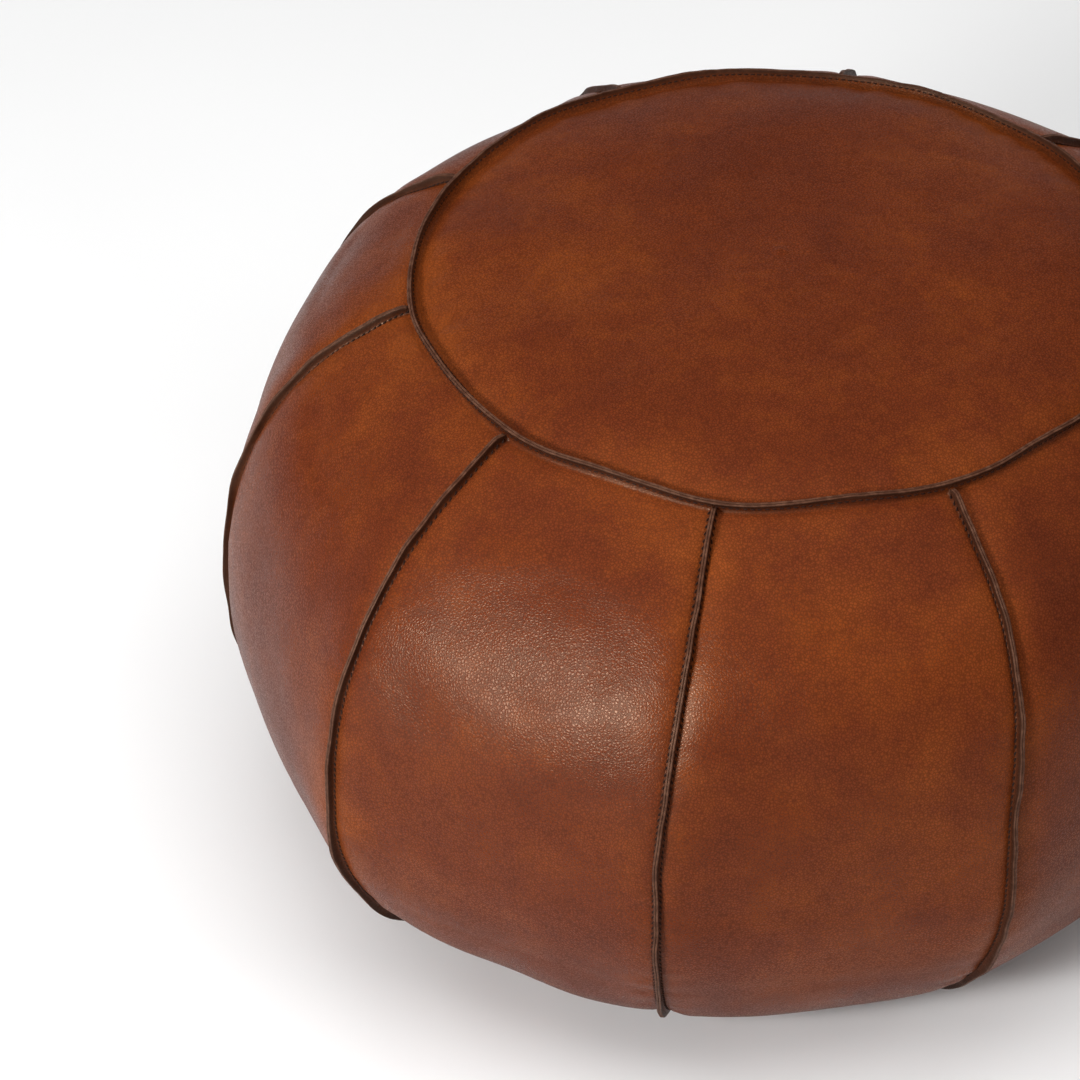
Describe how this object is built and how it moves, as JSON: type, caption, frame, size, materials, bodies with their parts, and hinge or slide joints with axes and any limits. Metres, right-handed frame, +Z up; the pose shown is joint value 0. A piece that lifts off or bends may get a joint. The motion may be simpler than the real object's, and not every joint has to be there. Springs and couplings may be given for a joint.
{
  "type": "pouf",
  "caption": "Round low pouf in tan leather: stuffed side gores and a domed top joined by outward-turned seams, with a zipped base.",
  "frame": {"origin": "centre of the widest outline at floor level", "axes": "+Z up; the front of the pouf faces -Y; the zip in the base runs along X"},
  "size_m": [0.5917, 0.6094, 0.35],
  "materials": {
    "leather": "tan brown full-grain leather, satin",
    "thread": "dark brown waxed thread",
    "zip_tape": "woven brown tape",
    "zip_coil": "brown nylon coil",
    "zip_metal": "aged brass",
    "liner": "plain cotton cloth",
    "filling": "loose cotton wadding"
  },
  "bodies": {
    "pouf": {"top_panel": "leather", "side_panel_01": "leather", "side_panel_02": "leather", "side_panel_03": "leather", "side_panel_04": "leather", "side_panel_05": "leather", "side_panel_06": "leather", "side_panel_07": "leather", "side_panel_08": "leather", "side_panel_09": "leather", "side_panel_10": "leather", "base_panel_front": "leather", "base_panel_rear": "leather", "zip_tape_front": "zip_tape", "zip_tape_rear": "zip_tape", "zip_coil_front": "zip_coil", "zip_coil_rear": "zip_coil", "zip_top_stops": "zip_metal", "zip_bottom_stop": "zip_metal", "liner_top": "liner", "liner_side": "liner", "liner_base": "liner", "filling": "filling", "stitching_side_seams": "thread", "stitching_top_seam": "thread", "stitching_base_seam": "thread"},
    "zip_slider": {"zip_slider": "zip_metal"},
    "zip_pull": {"zip_pull_tab": "zip_metal"}
  },
  "joints": [
    {"name": "zip_slide", "type": "slide", "parent": "pouf", "child": "zip_slider", "axis": [1, 0, 0], "range_m": [0, 0.295]},
    {"name": "pull_hinge", "type": "hinge", "parent": "zip_slider", "child": "zip_pull", "pos_m": [-0.159, 0.008, 0.0029], "axis": [0, 1, 0], "range_deg": [0, 180]}
  ]
}
